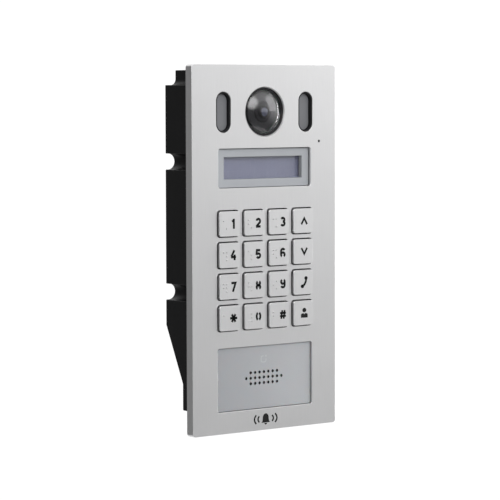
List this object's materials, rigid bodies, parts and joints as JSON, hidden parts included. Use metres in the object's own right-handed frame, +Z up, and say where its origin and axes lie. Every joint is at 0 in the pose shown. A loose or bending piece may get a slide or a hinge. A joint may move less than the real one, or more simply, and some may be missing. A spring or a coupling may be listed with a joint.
{
  "type": "door intercom panel",
  "caption": "Upright door intercom panel: satin metal plate with camera, lights, display, sprung keypad and card reader, in front of a black flush-mounting housing.",
  "frame": {"origin": "centre of the front plate's outline, on its rear plane, which lies on the wall", "axes": "+X to the right as a visitor sees the panel, +Y into the wall, +Z up; the plate's front faces -Y"},
  "size_m": [0.119, 0.0399, 0.24],
  "materials": {
    "plate_aluminium": "satin, fine vertical brushing",
    "key_metal": "satin, legends cut through and filled black",
    "black_trim": "fine matt",
    "smoked_dome": "polished, smoked",
    "lens": "black barrel with coated glass",
    "light_window": "grey clear plastic, satin",
    "display_frame": "pale blue-grey, fine matt",
    "clear_window": "polished, clear",
    "lcd": "violet-grey, unlit",
    "reader_cover": "translucent blue-grey, satin",
    "circuit_board": "green solder mask",
    "lamp_board": "white solder mask",
    "rubber": "matt",
    "mat_silicone": "translucent grey",
    "bright_steel": "bright zinc plating",
    "dark_steel": "black",
    "cone": "pressed film, matt",
    "terminal_green": "moulded, fine matt",
    "button_red": "moulded, fine matt",
    "housing_black": "moulded black, fine matt"
  },
  "bodies": {
    "panel": {"camera_board": "circuit_board", "camera_dome": "smoked_dome", "camera_holder": "black_trim", "camera_lens": "lens", "camera_ring": "black_trim", "camera_shroud": "black_trim", "display_frame": "display_frame", "display_window": "clear_window", "front_plate": "plate_aluminium", "housing_gasket": "rubber", "housing_screw_foot_left": "bright_steel", "housing_screw_foot_right": "bright_steel", "housing_screw_lower_left": "bright_steel", "housing_screw_lower_right": "bright_steel", "housing_screw_middle_left": "bright_steel", "housing_screw_middle_right": "bright_steel", "housing_screw_upper_left": "bright_steel", "housing_screw_upper_right": "bright_steel", "keypad_board": "circuit_board", "keypad_mat": "mat_silicone", "lcd_bezel": "dark_steel", "lcd_board": "circuit_board", "lcd_glass": "lcd", "light_bezel_left": "black_trim", "light_bezel_right": "black_trim", "light_board_left": "lamp_board", "light_board_right": "lamp_board", "light_window_left": "light_window", "light_window_right": "light_window", "main_board": "circuit_board", "microphone": "bright_steel", "microphone_boot": "rubber", "network_socket": "bright_steel", "reader_board": "circuit_board", "reader_cover": "reader_cover", "rear_housing": "housing_black", "speaker_basket": "dark_steel", "speaker_cone": "cone", "speaker_gasket": "rubber", "speaker_magnet": "bright_steel", "tamper_switch": "black_trim", "terminal_block": "terminal_green"},
    "button_1": {"key_1": "key_metal"},
    "button_2": {"key_2": "key_metal"},
    "button_3": {"key_3": "key_metal"},
    "button_up": {"key_up": "key_metal"},
    "button_4": {"key_4": "key_metal"},
    "button_5": {"key_5": "key_metal"},
    "button_6": {"key_6": "key_metal"},
    "button_down": {"key_down": "key_metal"},
    "button_7": {"key_7": "key_metal"},
    "button_8": {"key_8": "key_metal"},
    "button_9": {"key_9": "key_metal"},
    "button_call": {"key_call": "key_metal"},
    "button_star": {"key_star": "key_metal"},
    "button_0": {"key_0": "key_metal"},
    "button_hash": {"key_hash": "key_metal"},
    "button_concierge": {"key_concierge": "key_metal"},
    "tamper_plunger": {"tamper_button": "button_red"}
  },
  "joints": [
    {"name": "press_1", "type": "slide", "parent": "panel", "child": "button_1", "axis": [0, 1, 0], "range_m": [0, 0.0008], "stiffness_N_per_m": 2000},
    {"name": "press_2", "type": "slide", "parent": "panel", "child": "button_2", "axis": [0, 1, 0], "range_m": [0, 0.0008], "stiffness_N_per_m": 2000},
    {"name": "press_3", "type": "slide", "parent": "panel", "child": "button_3", "axis": [0, 1, 0], "range_m": [0, 0.0008], "stiffness_N_per_m": 2000},
    {"name": "press_up", "type": "slide", "parent": "panel", "child": "button_up", "axis": [0, 1, 0], "range_m": [0, 0.0008], "stiffness_N_per_m": 2000},
    {"name": "press_4", "type": "slide", "parent": "panel", "child": "button_4", "axis": [0, 1, 0], "range_m": [0, 0.0008], "stiffness_N_per_m": 2000},
    {"name": "press_5", "type": "slide", "parent": "panel", "child": "button_5", "axis": [0, 1, 0], "range_m": [0, 0.0008], "stiffness_N_per_m": 2000},
    {"name": "press_6", "type": "slide", "parent": "panel", "child": "button_6", "axis": [0, 1, 0], "range_m": [0, 0.0008], "stiffness_N_per_m": 2000},
    {"name": "press_down", "type": "slide", "parent": "panel", "child": "button_down", "axis": [0, 1, 0], "range_m": [0, 0.0008], "stiffness_N_per_m": 2000},
    {"name": "press_7", "type": "slide", "parent": "panel", "child": "button_7", "axis": [0, 1, 0], "range_m": [0, 0.0008], "stiffness_N_per_m": 2000},
    {"name": "press_8", "type": "slide", "parent": "panel", "child": "button_8", "axis": [0, 1, 0], "range_m": [0, 0.0008], "stiffness_N_per_m": 2000},
    {"name": "press_9", "type": "slide", "parent": "panel", "child": "button_9", "axis": [0, 1, 0], "range_m": [0, 0.0008], "stiffness_N_per_m": 2000},
    {"name": "press_call", "type": "slide", "parent": "panel", "child": "button_call", "axis": [0, 1, 0], "range_m": [0, 0.0008], "stiffness_N_per_m": 2000},
    {"name": "press_star", "type": "slide", "parent": "panel", "child": "button_star", "axis": [0, 1, 0], "range_m": [0, 0.0008], "stiffness_N_per_m": 2000},
    {"name": "press_0", "type": "slide", "parent": "panel", "child": "button_0", "axis": [0, 1, 0], "range_m": [0, 0.0008], "stiffness_N_per_m": 2000},
    {"name": "press_hash", "type": "slide", "parent": "panel", "child": "button_hash", "axis": [0, 1, 0], "range_m": [0, 0.0008], "stiffness_N_per_m": 2000},
    {"name": "press_concierge", "type": "slide", "parent": "panel", "child": "button_concierge", "axis": [0, 1, 0], "range_m": [0, 0.0008], "stiffness_N_per_m": 2000},
    {"name": "press_tamper", "type": "slide", "parent": "panel", "child": "tamper_plunger", "axis": [0, -1, 0], "range_m": [0, 0.002], "stiffness_N_per_m": 500}
  ]
}
